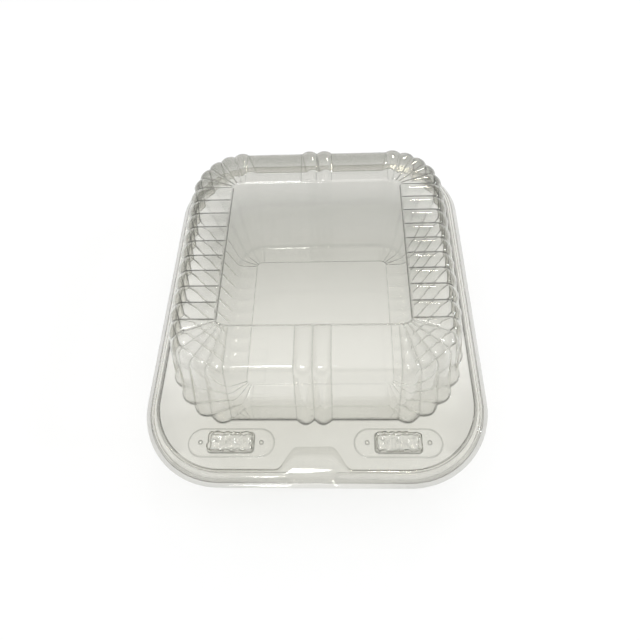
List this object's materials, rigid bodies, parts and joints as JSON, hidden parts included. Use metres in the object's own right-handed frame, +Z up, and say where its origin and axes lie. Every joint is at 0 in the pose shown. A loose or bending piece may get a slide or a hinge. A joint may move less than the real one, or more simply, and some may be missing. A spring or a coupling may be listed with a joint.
{
  "type": "plastic clamshell pack",
  "caption": "Clear ribbed food pack: a deep base tray and a domed lid on a fold along the back edge, with snap locks and a thumb tab at the front.",
  "frame": {"origin": "centre of the pack's outline on the surface that it stands on", "axes": "+X across the pack, +Y from the front lip towards the fold at the back, +Z up"},
  "size_m": [0.1744, 0.2118, 0.0824],
  "materials": {
    "clear_base": "clear glossy formed sheet with a faint warm grey tint",
    "clear_lid": "clear glossy formed sheet with a faint warm grey tint"
  },
  "bodies": {
    "base": {"base_tray": "clear_base"},
    "lid": {"lid": "clear_lid"}
  },
  "joints": [
    {"name": "lid_hinge", "type": "hinge", "parent": "base", "child": "lid", "pos_m": [0, 0.1059, 0.051], "axis": [-1, 0, 0], "range_deg": [0, 180]}
  ]
}
